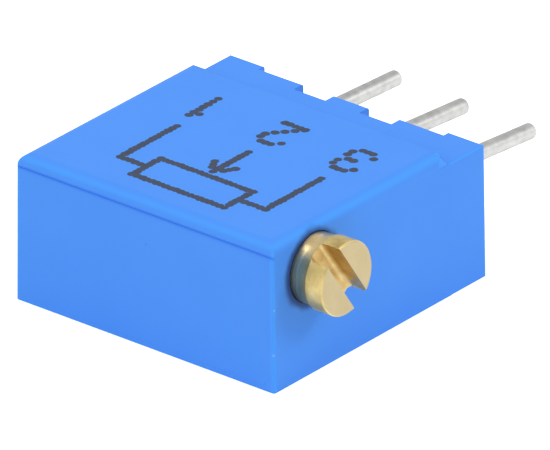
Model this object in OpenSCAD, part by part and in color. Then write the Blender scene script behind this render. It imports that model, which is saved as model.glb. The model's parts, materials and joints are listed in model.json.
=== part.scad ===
// Square multi-turn trimmer potentiometer, screw at the side, three pins in line.
// It lies on its back face. X runs along the row of pins with the screw head at +X, Y runs along
// the pins, Z is up out of the marked face. The origin is the middle of the back face.

/* [Housing] */
// Width of the body along the row of pins
body_w = 9.6; // [9.2:0.04:11.6]
// Length of the body from the plain end to the ends of the feet
body_l = 9.7; // [9.3:0.1:11.7]
// Thickness of the body from the back face to the marked face
body_t = 4.7; // [4.6:0.02:5.66]
// Radius of the soft edges round the marked face
soft_edge_r = 0.36; // [0.2:0.02:0.4]
// Radius of the soft edge where the housing steps down to the base
step_edge_r = 0.5; // [0.46:0.02:0.7]
// Radius of the two corners of the marked face at that step
step_corner_r = 0.9; // [0.4:0.1:1.4]
// Width of the narrow flats on the upright edges
edge_flat = 0.07; // [0.04:0.01:0.15]
// How far the sides lean out toward the back face, for the mould
side_draft = 0.06; // [0.02:0.01:0.08]
// How far the plain end leans out toward the back face
end_draft = 0.03; // [0.01:0.01:0.05]
// Step at the parting line under the soft edge of the plain end
parting_step = 0.04; // [0.02:0.01:0.08]
// Thickness of the side walls
side_wall = 0.6; // [0.5:0.05:0.8]
// Thickness of the plain end wall
end_wall = 0.55; // [0.4:0.05:0.7]
// Thickness of the wall under the marked face
face_wall = 0.5; // [0.35:0.05:0.6]
// Thickness of the back wall
back_wall = 0.5; // [0.35:0.05:0.6]
// Width of each rib that carries the ceramic
rib_w = 0.5; // [0.3:0.05:0.8]

/* [Base] */
// Length of the base that shows behind the housing, without the feet
base_l = 1.4; // [1.2:0.05:1.8]
// How far the base is set in from the housing at each side
base_inset = 0.01; // [0.01:0.01:0.1]
// How far the top of the base lies under the marked face
base_drop = 0.46; // [0.3:0.02:0.5]
// Radius of the edges along the top of the base
base_edge_r = 0.1; // [0.05:0.01:0.2]
// Depth of the plug that enters the housing
plug_l = 0.5; // [0.4:0.05:0.6]
// Width of each foot
foot_w = 1.3; // [1:0.05:1.6]
// Height of the feet over the lands
foot_h = 0.22; // [0.14:0.02:0.4]
// Width of the two notches between the pins
notch_w = 1.2; // [0.8:0.05:1.3]
// Depth of the notches
notch_d = 0.45; // [0.3:0.05:0.6]
// Distance between the middles of the notches
notch_pitch = 2.48; // [2.3:0.02:2.6]
// Thickness of the rim round the sealing compound
rim = 0.5; // [0.4:0.05:0.7]
// How far the sealing compound stays under the rim
potting_sink = 0.15; // [0.05:0.05:0.25]

/* [Pins] */
// Diameter of the pins
pin_d = 0.5; // [0.4:0.02:0.6]
// Distance between neighbouring pins
pin_pitch = 2.54; // [2.4:0.02:2.7]
// Length of a pin beyond the feet
pin_l = 4.5; // [3:0.1:6]
// How far the middle pin stands from the middle of the body, toward the screw head
pin_row_x = 0.2; // [0:0.05:0.3]
// Depth of the pin axes under the marked face
pin_depth = 2.06; // [2:0.02:2.3]
// Lean of pin 1 toward the back face, in degrees
pin_lean_1 = 0.9; // [0:0.1:4]
// Lean of pin 2 toward the back face, in degrees
pin_lean_2 = 2.7; // [0:0.1:4]
// Lean of pin 3 toward the back face, in degrees
pin_lean_3 = 3.1; // [0:0.1:4]
// Lean of all pins toward the screw head, in degrees
pin_sway = 2.5; // [0:0.1:4]

/* [Screw] */
// Distance from the screw axis to the plain end
screw_from_end = 1.85; // [1.8:0.05:2]
// Depth of the screw axis under the marked face
screw_depth = 1.35; // [1.33:0.01:1.4]
// Diameter of the screw head
head_d = 2.3; // [2.2:0.05:2.4]
// How far the head stands out of the side of the body
head_out = 1.25; // [0.9:0.05:1.6]
// Diameter of the neck behind the head
neck_d = 2.16; // [1.95:0.03:2.16]
// Length of the neck that shows
neck_out = 0.52; // [0.3:0.02:0.6]
// Depth of the seat for the neck
neck_seat = 0.3; // [0.2:0.05:0.35]
// Width of the driver slot
slot_w = 0.66; // [0.5:0.02:0.8]
// Depth of the driver slot
slot_d = 0.66; // [0.4:0.02:0.7]
// Radius in the two bottom corners of the driver slot
slot_r = 0.18; // [0.05:0.01:0.2]
// Turn of the driver slot about the screw axis, in degrees
slot_turn = -56; // [-180:1:180]
// Diameter of the shaft in its bearing
shaft_d = 1.7; // [1.66:0.01:1.74]
// Diameter of the shaft at the bottom of its grooves
groove_d = 1.14; // [1.1:0.02:1.2]
// Diameter of the round wire of the sealing ring
ring_wire = 0.3; // [0.26:0.01:0.3]
// Thickness of the retaining fork
fork_t = 0.2; // [0.15:0.01:0.25]
// Diameter of the tip journal
tip_d = 1; // [0.8:0.05:1.2]

/* [Worm drive] */
// Teeth on the rotor
teeth = 30; // [25:1:30]
// Gear module
gear_m = 0.16; // [0.132:0.002:0.162]
// Pitch radius of the worm
worm_r = 0.64; // [0.62:0.01:0.65]
// Turns of the worm thread, an odd number
worm_turns = 9; // [7:2:9]
// Width of the rotor teeth along their axis
tooth_face = 0.8; // [0.6:0.05:0.9]
// Thickness taken off each thread and tooth for free running
backlash = 0.03; // [0.02:0.005:0.05]
// Turn of the rotor from the middle to each end, in degrees
half_travel = 132; // [120:1:136]
// Radial gap between a journal and its bearing
running_gap = 0.03; // [0.02:0.01:0.05]

/* [Element] */
// Thickness of the ceramic
ceramic_t = 0.8; // [0.6:0.05:1]
// Thickness of the fired films
film_t = 0.03; // [0.02:0.01:0.05]
// How far the middle of the resistive track lies inside the tips of the rotor teeth
track_inset = 0.61; // [0.58:0.01:0.66]
// Width of the resistive track
track_w = 0.5; // [0.4:0.05:0.55]
// Diameter of the rotor pivot
pivot_d = 0.8; // [0.6:0.05:0.9]
// Thickness of the wiper strip
wiper_t = 0.08; // [0.05:0.01:0.1]
// Fingers of the wiper on the track
fingers = 4; // [3:1:4]
// Gap between pieces that are cemented or pushed together
fit_gap = 0.03; // [0.01:0.01:0.05]

/* [Hidden] */
$fn = 64;
eps = 0.01;

plain_y = -body_l / 2;
seat_y = body_l / 2;
land_y = seat_y - foot_h;
split_y = land_y - base_l;
plug_y = split_y - plug_l;
side_x = body_w / 2;
base_x = side_x - base_inset;
base_t = body_t - base_drop;
cavity_x = side_x - side_wall;
cavity_y = plain_y + end_wall;
ceiling_z = body_t - face_wall;
parting_z = body_t - soft_edge_r - parting_step;

screw_y = plain_y + screw_from_end;
screw_z = body_t - screw_depth;
bearing_r = shaft_d / 2 + running_gap;
head_gap = 0.02;                    // between the neck and its seat in the side wall
block_l = 1;                        // length of the bearing blocks inside the side walls
block_wall = 0.15;                  // wall of the blocks beside the bearing
block_x = cavity_x - block_l;       // inner face of each bearing block
block_y = screw_y + bearing_r + block_wall;
land_l = 0.1;                       // full-size shaft between the neck and the ring
ring_play = 0.08;                   // extra length of the groove for the ring
groove_l = ring_wire + ring_play;
seal_x = side_x - neck_seat - land_l - groove_l / 2;
fork_x = block_x - running_gap - fork_t;
tip_floor = 0.25;                   // side wall left behind the tip journal
tip_play = 0.1;                     // room between the tip journal and that wall

dedendum = 1.25;                    // foot of the teeth under the pitch line, in modules
pitch_r = teeth * gear_m / 2;
tip_r = pitch_r + gear_m;
foot_r = pitch_r - dedendum * gear_m;
worm_tip_r = worm_r + gear_m;
worm_foot_r = worm_r - dedendum * gear_m;
rotor_y = screw_y + worm_r + pitch_r;
lead = PI * gear_m;
lead_angle = atan(lead / (2 * PI * worm_r));
flank = tan(20);
thread_w = lead / 2 - backlash;     // thickness of a thread or a tooth on the pitch line
worm_x = lead * worm_turns / 2 + 0.1;

pin_z = body_t - pin_depth;
film_z = pin_z - pin_d / 2;         // top of the fired films, where the pins lie
ceramic_z = film_z - film_t;
ceramic_low = ceramic_z - ceramic_t;
ceramic_x = cavity_x - 0.12;
ceramic_y = cavity_y + 0.35;
ceramic_end_y = plug_y + 0.3;       // the pin end of the ceramic sits in the plug
rib_x = 1.7;                        // the inner ribs stand clear of the pivot's head
pin_end_y = plug_y - 0.35;          // inner end of the pins
pad_w = 1;                          // width of the film under each pin
track_r = tip_r - track_inset;
track_half = half_travel + 6;       // the track runs on past both ends of the travel

rotor_low = screw_z - tooth_face / 2;
rotor_top = screw_z + tooth_face / 2;
boss_l = 0.1;                       // how far the boss stands under the teeth
hub_r = 1;
boss_r = 1.4;
wiper_z = rotor_low - boss_l - wiper_t;
peg_r = 0.14;
peg_at = 1.15;                      // distance of the wiper's pegs from the pivot
lug_r0 = 1.2;
lug_r1 = 1.85;
lug_half = 22;                      // half angle of the lug on the rotor
stop_half = 180 - half_travel - lug_half - 2;
stop_gap = 0.1;                     // between the teeth and the stop under the ceiling

function pin_x(i) = pin_row_x + (i - 2) * pin_pitch;
function on_circle(r, a) = [r * cos(a), r * sin(a)];
function arc(r, a0, a1, n = 36) = [for (i = [0:n]) on_circle(r, a0 + (a1 - a0) * i / n)];

// Extrude an outline drawn in Y and Z along +X
module along_x(x, l) {
    translate([x, 0, 0]) rotate([90, 0, 90]) linear_extrude(height = l) children();
}

// Extrude an outline drawn in X and Z along +Y
module along_y(y, l) {
    translate([0, y + l, 0]) rotate([90, 0, 0]) linear_extrude(height = l) children();
}

// Cylinder along +X on the screw axis
module on_screw(x, l, r) {
    translate([x, screw_y, screw_z]) rotate([0, 90, 0]) cylinder(h = l, r = r);
}

// Upright outline from u0 to u1 and up to v, with soft upper corners of radii r0 and r1
module soft_top(u0, u1, v, r0, r1) {
    polygon([[u0, 0], [u1, 0], [u1, v - r1], [u1 - r1, v], [u0 + r0, v], [u0, v - r0]]);
    translate([u0 + r0, v - r0]) circle(r = r0);
    translate([u1 - r1, v - r1]) circle(r = r1);
}

// The same outline between -x and x, with sides that lean out by d at the bottom
module drafted_top(x, v, r, d) {
    a = atan(d / v);
    mid = x - r * (1 - sin(a)) / cos(a);    // middle of the corner, so that the side touches it
    side_u = mid + r * cos(a);
    side_v = v - r + r * sin(a);
    polygon([[-x - d, 0], [x + d, 0], [side_u, side_v], [mid, v], [-mid, v], [-side_u, side_v]]);
    for (u = [-mid, mid])
        translate([u, v - r]) circle(r = r);
}

// Takes a narrow flat off the upright edge at side x and end y. The edge leans out by dx and dy
// over the height h
module upright_flat(x, y, dx, dy, h) {
    out = sqrt(2) * ((dx + dy) / 2);
    translate([sign(x) * (abs(x) + dx), sign(y) * (abs(y) + dy), 0])
        rotate([0, 0, atan2(sign(y), sign(x))])
            rotate([0, -atan(out / h), 0])
                translate([-edge_flat / 2, -1, -1]) cube([1, 2, h + 2]);
}

// Ring sector between two radii and two angles
module ring_sector(r0, r1, a0, a1) {
    polygon(concat(arc(r0, a0, a1), arc(r1, a1, a0)));
}

// Outer form of the moulded housing: its plan with two round corners at the step to the base,
// its drafted sides with soft edges, and its side outline with the small parting step along the
// plain end
module housing_form() {
    beyond = 1;
    r = step_corner_r;
    round_x = side_x + side_draft;
    round_y = split_y + side_draft;
    difference() {
        intersection() {
            union() {
                translate([-side_x - beyond, plain_y - beyond, 0])
                    cube([body_w + 2 * beyond, body_l + beyond, base_t]);
                linear_extrude(height = body_t) {
                    translate([-round_x, plain_y - beyond])
                        square([2 * round_x, round_y - r - plain_y + beyond]);
                    translate([-round_x + r, plain_y - beyond])
                        square([2 * round_x - 2 * r, round_y - plain_y + beyond]);
                    for (x = [-round_x + r, round_x - r])
                        translate([x, round_y - r]) circle(r = r);
                }
            }
            along_y(plain_y - beyond, split_y - plain_y + 2 * beyond)
                drafted_top(side_x, body_t, soft_edge_r, side_draft);
            along_x(-side_x - beyond, body_w + 2 * beyond) {
                soft_top(plain_y + parting_step, split_y, body_t, soft_edge_r, step_edge_r);
                polygon([[plain_y - end_draft, 0], [split_y - beyond, 0],
                         [split_y - beyond, parting_z], [plain_y, parting_z]]);
            }
        }
        for (x = [-side_x, side_x])
            upright_flat(x, plain_y, side_draft, end_draft, body_t);
    }
}

// Room inside the housing, open at the pin end, less the blocks that carry the screw, the ribs
// that carry the ceramic and the stop for the rotor
module housing_room() {
    difference() {
        translate([-cavity_x, cavity_y, back_wall])
            cube([2 * cavity_x, split_y - cavity_y + 1, ceiling_z - back_wall]);
        for (x = [-cavity_x - 1, block_x])
            translate([x, cavity_y - 1, film_z])
                cube([block_l + 1, block_y - cavity_y + 1, body_t]);
        for (x = [-ceramic_x + rib_w, -rib_x, rib_x, ceramic_x - rib_w])
            translate([x - rib_w / 2, cavity_y - 1, 0])
                cube([rib_w, plug_y - fit_gap - cavity_y + 1, ceramic_low]);
        translate([0, rotor_y, rotor_top + stop_gap]) linear_extrude(height = body_t)
            ring_sector(lug_r0, lug_r1, -90 - stop_half, -90 + stop_half);
    }
}

module housing() {
    color("dodgerblue") difference() {
        housing_form();
        housing_room();
        on_screw(side_x - neck_seat, neck_seat + 1, neck_d / 2 + head_gap);
        on_screw(block_x - 1, side_x - block_x + 1, bearing_r);
        on_screw(-side_x + tip_floor, side_wall + block_l, tip_d / 2 + running_gap);
    }
}

// Side outline of the base up to y
module base_side(y) {
    soft_top(split_y - 1, y, base_t, base_edge_r, base_edge_r);
}

// Moulded closure of the pin end: two feet, three lands with notches between them, a pocket
// for the sealing compound and a plug that enters the housing
module base() {
    color("dodgerblue") difference() {
        union() {
            difference() {
                intersection() {
                    along_y(split_y, body_l)
                        drafted_top(base_x, base_t, base_edge_r, side_draft);
                    along_x(-base_x - 1, 2 * base_x + 2) base_side(seat_y);
                }
                along_x(-base_x + foot_w, 2 * (base_x - foot_w)) difference() {
                    translate([land_y - base_edge_r, -1]) square([body_l, base_t + 2]);
                    base_side(land_y);
                }
            }
            translate([-cavity_x + fit_gap, plug_y, back_wall + fit_gap])
                cube([2 * (cavity_x - fit_gap), plug_l + eps,
                      ceiling_z - back_wall - 2 * fit_gap]);
        }
        pocket(seat_y);
        for (x = [-base_x, base_x])
            upright_flat(x, seat_y, side_draft, 0, base_t);
        for (s = [-1, 1])
            translate([s * notch_pitch / 2 - notch_w / 2, land_y - notch_d, -1])
                cube([notch_w, notch_d + 1, body_t + 2]);
        translate([-ceramic_x - fit_gap, plug_y - 1, ceramic_low - fit_gap])
            cube([2 * (ceramic_x + fit_gap), ceramic_end_y + fit_gap - plug_y + 1,
                  film_z - ceramic_low + 2 * fit_gap]);
        for (i = [1:3])
            pin_hole(i, plug_y - 1, body_l);
    }
}

// Pocket in the pin end of the base between the feet, filled up to y
module pocket(y) {
    translate([-base_x + foot_w, land_y - notch_d, rim])
        cube([2 * (base_x - foot_w), y - land_y + notch_d, base_t - 2 * rim]);
}

// Room for pin i from y on
module pin_hole(i, y, l) {
    translate([pin_x(i), y, pin_z]) rotate([-90, 0, 0]) cylinder(h = l, r = pin_d / 2 + eps);
}

// Sealing compound cast round the pins
module potting() {
    color("darkslategray") difference() {
        pocket(land_y - potting_sink);
        for (i = [1:3])
            pin_hole(i, split_y, base_l);
    }
}

// Ridge of the worm: trapezoid sections along a right-hand helix, lower at both ends
module worm_thread() {
    seg = 24;                       // sections in a turn
    n = worm_turns * seg;
    root = worm_foot_r - 0.04;      // a little inside the core
    wide = thread_w + 2 * (worm_r - root) * flank;
    function fade(i) = min(1, min(i, n - i) / (seg / 3) + 0.2);
    function ridge(i) = root + (worm_tip_r - root) * fade(i);
    function narrow(i) = wide - 2 * (ridge(i) - root) * flank;
    function spot(i, x, r) = [lead * (i / seg - worm_turns / 2) + x,
                              r * cos(360 * i / seg), r * sin(360 * i / seg)];
    points = [for (i = [0:n]) each [spot(i, -wide / 2, root), spot(i, -narrow(i) / 2, ridge(i)),
                                    spot(i, narrow(i) / 2, ridge(i)), spot(i, wide / 2, root)]];
    sides = [for (i = [0:n - 1], k = [0:3])
                let (a = 4 * i + k, b = 4 * i + (k + 1) % 4)
                    each [[a, b, b + 4], [a, b + 4, a + 4]]];
    ends = [[0, 2, 1], [0, 3, 2], [4 * n, 4 * n + 1, 4 * n + 2], [4 * n, 4 * n + 2, 4 * n + 3]];
    translate([0, screw_y, screw_z]) polyhedron(points = points, faces = concat(sides, ends));
}

// Section of the driver slot, drawn from its bottom up
module driver_slot() {
    half = slot_w / 2;
    translate([slot_r, -half]) square([slot_d + 1, slot_w]);
    translate([0, slot_r - half]) square([slot_d + 1, slot_w - 2 * slot_r]);
    for (z = [slot_r - half, half - slot_r])
        translate([slot_r, z]) circle(r = slot_r);
}

// Turned brass screw: slotted head, neck, bearing shaft with two grooves, worm and tip journal
module adjustment_screw() {
    neck_x = side_x - neck_seat;
    head_x = side_x + neck_out;
    chamfer = 0.05;
    shoulder = 0.1;                 // length of the cone between neck and head
    front_x = side_x + head_out;
    tip_x = -side_x + tip_floor + tip_play;
    color("goldenrod") union() {
        difference() {
            union() {
                on_screw(neck_x, head_x + eps - neck_x, neck_d / 2);
                translate([head_x, screw_y, screw_z]) rotate([0, 90, 0])
                    cylinder(h = shoulder, r1 = neck_d / 2, r2 = head_d / 2);
                on_screw(head_x + shoulder, front_x - chamfer - head_x - shoulder, head_d / 2);
                translate([front_x - chamfer, screw_y, screw_z]) rotate([0, 90, 0])
                    cylinder(h = chamfer, r1 = head_d / 2, r2 = head_d / 2 - chamfer);
            }
            translate([front_x - slot_d, screw_y, screw_z]) rotate([slot_turn, 0, 0])
                along_y(-head_d, 2 * head_d) driver_slot();
        }
        on_screw(worm_x, neck_x + eps - worm_x, groove_d / 2);
        on_screw(seal_x + groove_l / 2, neck_x + eps - seal_x - groove_l / 2, shaft_d / 2);
        on_screw(block_x, seal_x - groove_l / 2 - block_x, shaft_d / 2);
        on_screw(worm_x, fork_x - running_gap - worm_x, worm_tip_r);
        on_screw(-worm_x, 2 * worm_x + eps, worm_foot_r);
        on_screw(tip_x, eps - worm_x - tip_x, tip_d / 2);
        worm_thread();
    }
}

// Rubber ring in the outer groove of the shaft
module seal_ring() {
    wire = ring_wire / 2;
    color("black") translate([seal_x, screw_y, screw_z]) rotate([0, 90, 0])
        rotate_extrude() translate([groove_d / 2 + wire, 0]) circle(r = wire);
}

// Spring fork that keeps the screw in its bearing. It is pushed over the inner groove
module retaining_fork() {
    bore = groove_d / 2 + running_gap;
    reach = 1.1;                    // how far the prongs and the web reach from the axis
    high = 0.78;
    color("silver") along_x(fork_x, fork_t) translate([screw_y, screw_z]) difference() {
        translate([-reach, -high]) square([2 * reach, 2 * high]);
        circle(r = bore);
        translate([-2 * reach, -bore]) square([2 * reach, 2 * bore]);
    }
}

// One tooth of the rotor, leaning with the worm thread
module rotor_tooth() {
    low_w = thread_w + 2 * dedendum * gear_m * flank;
    tip_w = thread_w - 2 * gear_m * flank;
    in_r = foot_r - 0.1;            // a little inside the rim
    rotate([-lead_angle, 0, 0]) linear_extrude(height = 2 * tooth_face, center = true)
        polygon([[in_r, -low_w / 2], [foot_r, -low_w / 2], [tip_r, -tip_w / 2],
                 [tip_r, tip_w / 2], [foot_r, low_w / 2], [in_r, low_w / 2]]);
}

// Moulded rotor: worm wheel, hub, stop lug and the pegs that hold the wiper
module rotor() {
    web_r = foot_r - 0.3;           // the web between rim and hub is thinner than both
    hollow = 0.2;
    play = 0.05;                    // between the hub and the ceiling
    color("ivory") translate([0, rotor_y, 0]) difference() {
        union() {
            intersection() {
                for (i = [0:teeth - 1])
                    translate([0, 0, screw_z]) rotate([0, 0, -90 + 360 * i / teeth])
                        rotor_tooth();
                cylinder_between(0, 0, rotor_low, rotor_top, tip_r + 1);
            }
            difference() {
                cylinder_between(0, 0, rotor_low, rotor_top, foot_r);
                cylinder_between(0, 0, rotor_low - 1, rotor_low + hollow, web_r);
                cylinder_between(0, 0, rotor_top - hollow, rotor_top + 1, web_r);
            }
            cylinder_between(0, 0, rotor_low - boss_l, rotor_top, boss_r);
            cylinder_between(0, 0, rotor_low, ceiling_z - play, hub_r);
            translate([0, 0, rotor_low]) linear_extrude(height = ceiling_z - play - rotor_low)
                ring_sector(lug_r0, lug_r1, 90 - lug_half, 90 + lug_half);
            for (a = [45:90:315])
                rotate([0, 0, a])
                    cylinder_between(peg_at, 0, wiper_z - wiper_t, rotor_low, peg_r);
        }
        cylinder_between(0, 0, 0, body_t, pivot_d / 2 + running_gap);
    }
}

// Upright cylinder at x and y from z0 to z1
module cylinder_between(x, y, z0, z1, r) {
    translate([x, y, z0]) cylinder(h = z1 - z0, r = r);
}

// Finger of the wiper: a strip of width w and length l at y, bent down to z at its free end
module finger(y, w, l, z) {
    toe = 0.12;                     // half length of the curved end on the film
    along_y(y - w / 2, w)
        polygon([[0, z], [toe, z], [l, wiper_z], [l + 0.1, wiper_z],
                 [l + 0.1, wiper_z + wiper_t], [l, wiper_z + wiper_t],
                 [0, z + wiper_t], [-toe, z + 2 * wiper_t], [-toe, z + wiper_t]]);
}

// Spring wiper: plate on the pegs of the rotor, fingers on the track, two on the collector
module wiper() {
    step = track_w / (fingers + 0.5);
    contact_z = film_z + 0.005;
    arm_x = 0.7;                    // where the fingers leave the arm of the plate
    arm_w = 0.4;
    arm_r = track_r + track_w / 2 + 0.1;
    window_y = 0.72;                // window in the plate over the two inner fingers
    window_w = 0.42;
    inner_w = 0.12;
    color("gold") translate([0, rotor_y, 0]) {
        translate([0, 0, wiper_z]) linear_extrude(height = wiper_t) difference() {
            union() {
                circle(r = boss_r);
                intersection() {
                    translate([arm_x, -arm_r]) square([arm_w, arm_r]);
                    circle(r = arm_r);
                }
            }
            circle(r = pivot_d / 2 + 0.3);
            for (a = [45:90:315])
                translate(on_circle(peg_at, a)) circle(r = peg_r + 0.02);
            translate([-1, window_y]) square([1.5, window_w]);
        }
        for (i = [0:fingers - 1])
            finger(-track_r + (i - (fingers - 1) / 2) * step, 0.7 * step, arm_x + 0.05,
                   contact_z);
        for (y = [window_y + inner_w, window_y + window_w - inner_w])
            finger(y, inner_w, 0.5, contact_z);
    }
}

// Riveted pivot of the rotor, held in the ceramic
module pivot_pin() {
    rivet_l = 0.2;
    rivet_r = pivot_d / 2 + 0.35;
    color("silver") translate([0, rotor_y, 0]) {
        cylinder_between(0, 0, ceramic_low - rivet_l, ceramic_low, rivet_r);
        cylinder_between(0, 0, ceramic_low - eps, ceiling_z - 0.1, pivot_d / 2);
    }
}

// Alumina plate on the ribs of the housing, with its end in the plug of the base
module ceramic_plate() {
    color("white") difference() {
        translate([-ceramic_x, ceramic_y, ceramic_low])
            cube([2 * ceramic_x, ceramic_end_y - ceramic_y, ceramic_t]);
        cylinder_between(0, rotor_y, 0, body_t, pivot_d / 2 + eps);
    }
}

// Film fired on the ceramic, drawn from the rotor axis
module film() {
    translate([0, rotor_y, ceramic_z]) linear_extrude(height = film_t) children();
}

module resistive_track() {
    color("dimgray") film()
        ring_sector(track_r - track_w / 2, track_r + track_w / 2, -90 - track_half,
                    -90 + track_half);
}

// Ring round the pivot with a lead to the middle pin
module collector_film() {
    lead_w = pad_w / 2;
    color("silver") film() difference() {
        union() {
            circle(r = hub_r + 0.2);
            translate([pin_x(2) - lead_w / 2, 0]) square([lead_w, ceramic_end_y - rotor_y]);
        }
        circle(r = pivot_d / 2 + 0.15);
    }
}

// Silver film from one end of the track to its pin, side -1 for pin 1 and 1 for pin 3
module end_film(side) {
    r0 = track_r - track_w / 2;
    r1 = track_r + track_w / 2;
    a = -90 + side * track_half;
    b = a + side * 12;
    x = side > 0 ? pin_x(3) : pin_x(1);
    x0 = x + side * pad_w / 2;
    x1 = x - side * pad_w / 2;
    near_y = pin_end_y - rotor_y;
    outline = concat(arc(r0, b, a, 6), [on_circle(r1, a)],
                     [[x0, near_y - 0.25], [x0, ceramic_end_y - rotor_y],
                      [x1, ceramic_end_y - rotor_y], [x1, near_y + 0.1]],
                     [on_circle(r1, b)]);
    last = len(outline) - 1;
    color("silver") film()
        polygon(side > 0 ? outline : [for (i = [last:-1:0]) outline[i]]);
}

module end_film_1() { end_film(-1); }
module end_film_3() { end_film(1); }

// Tinned wire pin: straight in the base, a slight bend level with the feet and a straight
// free end with a rounded tip
module terminal(i) {
    r = pin_d / 2;
    soft = 0.45 * r;                // radius of the rounded tip
    bend_r = 1;
    lean = [pin_lean_1, pin_lean_2, pin_lean_3][i - 1];
    bend = acos(cos(lean) * cos(pin_sway));
    free = pin_l - bend_r * sin(bend);
    color("lightgray") translate([pin_x(i), seat_y, pin_z])
        rotate([0, atan2(-sin(lean), -sin(pin_sway)), 0]) {
            rotate([90, 0, 0]) cylinder(h = seat_y - pin_end_y, r = r);
            translate([-bend_r, 0, 0])
                rotate_extrude(angle = bend) translate([bend_r, 0]) circle(r = r);
            translate([bend_r * (cos(bend) - 1), bend_r * sin(bend), 0])
                rotate([-90, 0, bend]) rotate_extrude() {
                    square([r, free - soft]);
                    square([r - soft, free]);
                    translate([r - soft, free - soft]) circle(r = soft);
                }
        }
}

module terminal_1() { terminal(1); }
module terminal_2() { terminal(2); }
module terminal_3() { terminal(3); }

// Solder between a pin and its film
module solder(i) {
    x = pin_x(i);
    low_w = pad_w - 0.1;
    top_w = pin_d + 0.12;
    y0 = pin_end_y - 0.08;
    y1 = plug_y - 0.05;
    color("silver") difference() {
        along_y(y0, y1 - y0)
            polygon([[x - low_w / 2, film_z], [x + low_w / 2, film_z],
                     [x + top_w / 2, pin_z + 0.05], [x - top_w / 2, pin_z + 0.05]]);
        translate([x, pin_end_y, pin_z]) rotate([-90, 0, 0])
            cylinder(h = plug_l + 2, r = pin_d / 2);
    }
}

module solder_1() { solder(1); }
module solder_2() { solder(2); }
module solder_3() { solder(3); }

housing();
base();
potting();
adjustment_screw();
seal_ring();
retaining_fork();
rotor();
wiper();
pivot_pin();
ceramic_plate();
resistive_track();
collector_film();
end_film_1();
end_film_3();
terminal_1();
terminal_2();
terminal_3();
solder_1();
solder_2();
solder_3();
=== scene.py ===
import bpy, bmesh, json, math, random
from mathutils import Matrix, Vector


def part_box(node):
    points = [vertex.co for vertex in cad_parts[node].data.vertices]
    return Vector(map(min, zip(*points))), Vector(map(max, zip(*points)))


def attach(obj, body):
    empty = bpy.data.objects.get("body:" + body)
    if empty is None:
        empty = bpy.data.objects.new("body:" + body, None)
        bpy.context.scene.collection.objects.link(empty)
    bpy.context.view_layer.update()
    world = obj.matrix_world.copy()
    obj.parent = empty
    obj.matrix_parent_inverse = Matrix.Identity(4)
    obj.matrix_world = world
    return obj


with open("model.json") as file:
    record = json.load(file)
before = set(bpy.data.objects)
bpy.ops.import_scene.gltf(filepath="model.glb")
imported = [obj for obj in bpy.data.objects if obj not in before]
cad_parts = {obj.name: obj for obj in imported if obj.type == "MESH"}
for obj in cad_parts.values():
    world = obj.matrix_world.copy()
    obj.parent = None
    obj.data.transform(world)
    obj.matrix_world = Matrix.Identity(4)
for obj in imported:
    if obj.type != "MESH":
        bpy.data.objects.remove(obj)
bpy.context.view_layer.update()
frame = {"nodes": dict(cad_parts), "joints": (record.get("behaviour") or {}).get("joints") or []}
pieces = frame["nodes"]
MM = 0.001

# Camera. A long lens from the corner of the plain end and the screw side, a little over the
# marked face, aimed at the middle of the body.
azimuth, elevation, roll = math.radians(39.67), math.radians(26.6), math.radians(-0.404)
away = 0.5034
aim = Vector((0.759, 0.15, 2.193)) * MM
look = Vector((-math.sin(azimuth) * math.cos(elevation),
               math.cos(azimuth) * math.cos(elevation), -math.sin(elevation)))
side = Vector((math.cos(azimuth), math.sin(azimuth), 0))
rise = side.cross(look)
right = math.cos(roll) * side + math.sin(roll) * rise
upward = math.cos(roll) * rise - math.sin(roll) * side
camera = bpy.data.objects.new("camera", bpy.data.cameras.new("camera"))
camera.data.lens = 1135.3
camera.data.clip_start = 0.05
camera.data.clip_end = 5
turn = Matrix((right, upward, -look)).transposed().to_4x4()
camera.matrix_world = Matrix.Translation(aim - look * away) @ turn
bpy.context.scene.collection.objects.link(camera)
bpy.context.scene.camera = camera


# Housing. A box moulded in blue thermosetting plastic, closed at the pin end by the base. It has a
# faint grain from the mould, a few specks of filler, edges painted paler as a highlight, a darker
# band painted as the shade of the fine step where the halves of the mould met, and painted shade
# round the hole of the screw.
housing_low, housing_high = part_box("housing")
side_draft, end_draft = 0.06, 0.03


def feed(tree, socket, value):
    """Links a socket to another one, or gives it a plain value."""
    if isinstance(value, bpy.types.NodeSocket):
        tree.links.new(value, socket)
    else:
        socket.default_value = value


def place(tree, kind, inputs=None, **settings):
    item = tree.nodes.new(kind)
    for name, value in settings.items():
        setattr(item, name, value)
    for name, value in (inputs or {}).items():
        feed(tree, item.inputs[name], value)
    return item


def new_effect(name, inputs, outputs):
    tree = bpy.data.node_groups.new(name, "ShaderNodeTree")
    for title, kind, value in inputs:
        socket = tree.interface.new_socket(title, in_out="INPUT", socket_type=kind)
        if value is not None:
            socket.default_value = value
    for title, kind in outputs:
        tree.interface.new_socket(title, in_out="OUTPUT", socket_type=kind)
    start, end = tree.nodes.new("NodeGroupInput"), tree.nodes.new("NodeGroupOutput")
    return tree, start.outputs, end


def use_effect(tree, effect, **inputs):
    item = tree.nodes.new("ShaderNodeGroup")
    item.node_tree = effect
    for name, value in inputs.items():
        feed(tree, item.inputs[name.replace("_", " ")], value)
    return item.outputs


def reckon(tree, operation, *values):
    item = tree.nodes.new("ShaderNodeMath")
    item.operation = operation
    for socket, value in zip(item.inputs, values):
        feed(tree, socket, value)
    return item.outputs[0]


def blend_colour(tree, factor, first, second):
    item = tree.nodes.new("ShaderNodeMix")
    item.data_type = "RGBA"
    # the sockets of this node share their names, so the colour ones are called by number
    for number, value in ((0, factor), (6, first), (7, second)):
        feed(tree, item.inputs[number], value)
    return item.outputs[2]


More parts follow.
